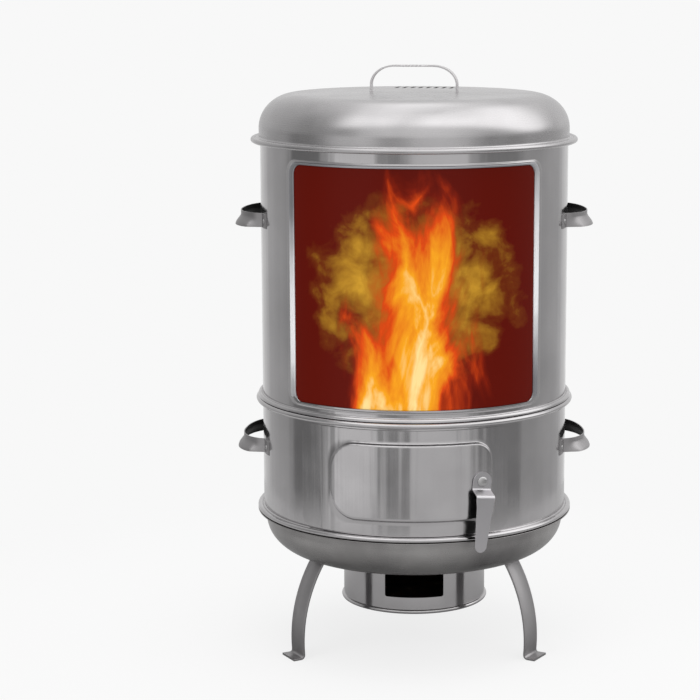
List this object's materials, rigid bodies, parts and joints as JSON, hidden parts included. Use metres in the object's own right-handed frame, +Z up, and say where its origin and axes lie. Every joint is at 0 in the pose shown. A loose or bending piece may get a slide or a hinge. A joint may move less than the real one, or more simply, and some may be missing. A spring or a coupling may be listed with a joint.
{
  "type": "vertical duck roasting oven",
  "caption": "Upright charcoal roasting oven in stainless sheet: bowl on legs, base with lift-off fire door and latch, barrel with hanging ring and hooks, domed lid with bail handle.",
  "frame": {"origin": "middle of the footprint on the floor, on the oven's own axis", "axes": "+Z up along the oven's axis; the front, with the picture and the fire door, faces -Y; +X is to the right seen from the front"},
  "size_m": [0.5232, 0.4774, 0.8633],
  "materials": {
    "satin_stainless": "satin",
    "brushed_stainless": "brushed",
    "bright_surround": "polished",
    "enamel_picture": "gloss",
    "plated_wire": "plated",
    "fired_steel": "scaled and sooty"
  },
  "bodies": {
    "stand": {"fire_bowl": "satin_stainless", "ash_drum": "satin_stainless", "leg_left": "brushed_stainless", "leg_right": "brushed_stainless", "leg_rear": "brushed_stainless", "base_shell": "satin_stainless", "locating_collar": "brushed_stainless", "base_handle_left": "satin_stainless", "base_handle_right": "satin_stainless"},
    "grate": {"fire_grate": "fired_steel", "pan_trivet": "plated_wire"},
    "pan": {"drip_pan": "satin_stainless"},
    "door": {"fire_door": "satin_stainless", "door_hanger_left": "brushed_stainless", "door_hanger_right": "brushed_stainless"},
    "latch": {"latch_handle": "brushed_stainless", "latch_spindle": "plated_wire", "latch_sleeve": "plated_wire", "latch_tongue": "brushed_stainless"},
    "barrel": {"barrel_shell": "satin_stainless", "barrel_handle_left": "satin_stainless", "barrel_handle_right": "satin_stainless", "picture_surround": "bright_surround", "picture_panel": "enamel_picture", "ring_bracket_front_left": "brushed_stainless", "ring_bracket_front_right": "brushed_stainless", "ring_bracket_rear_right": "brushed_stainless", "ring_bracket_rear_left": "brushed_stainless"},
    "rack": {"hanging_ring": "plated_wire"},
    "hook_front": {"duck_hook_front": "plated_wire"},
    "hook_right": {"duck_hook_right": "plated_wire"},
    "hook_rear": {"duck_hook_rear": "plated_wire"},
    "hook_left": {"duck_hook_left": "plated_wire"},
    "lid": {"lid_shell": "satin_stainless", "lid_skirt": "brushed_stainless", "lid_handle": "brushed_stainless"}
  },
  "joints": [
    {"name": "grate_lift", "type": "slide", "parent": "stand", "child": "grate", "axis": [0, 0, 1], "range_m": [0, 0.03]},
    {"name": "pan_lift", "type": "slide", "parent": "grate", "child": "pan", "axis": [0, 0, 1], "range_m": [0, 0.06]},
    {"name": "door_slide", "type": "slide", "parent": "stand", "child": "door", "axis": [-0.0773, -0.9818, 0.1737], "range_m": [0, 0.06]},
    {"name": "latch_turn", "type": "hinge", "parent": "door", "child": "latch", "pos_m": [0.0947, -0.2107, 0.292], "axis": [0.4099, -0.9121, 0], "range_deg": [0, 90]},
    {"name": "barrel_lift", "type": "slide", "parent": "stand", "child": "barrel", "axis": [0, 0, 1], "range_m": [0, 0.1]},
    {"name": "rack_lift", "type": "slide", "parent": "barrel", "child": "rack", "axis": [0, 0, 1], "range_m": [0, 0.03]},
    {"name": "hook_front_swing", "type": "hinge", "parent": "rack", "child": "hook_front", "pos_m": [0, -0.15, 0.7073], "axis": [1, 0, 0], "range_deg": [-25, 25]},
    {"name": "hook_right_swing", "type": "hinge", "parent": "rack", "child": "hook_right", "pos_m": [0.15, 0, 0.7073], "axis": [0, 1, 0], "range_deg": [-25, 25]},
    {"name": "hook_rear_swing", "type": "hinge", "parent": "rack", "child": "hook_rear", "pos_m": [0, 0.15, 0.7073], "axis": [1, 0, 0], "range_deg": [-25, 25]},
    {"name": "hook_left_swing", "type": "hinge", "parent": "rack", "child": "hook_left", "pos_m": [-0.15, 0, 0.7073], "axis": [0, 1, 0], "range_deg": [-25, 25]},
    {"name": "lid_lift", "type": "slide", "parent": "barrel", "child": "lid", "axis": [0, 0, 1], "range_m": [0, 0.12]}
  ]
}
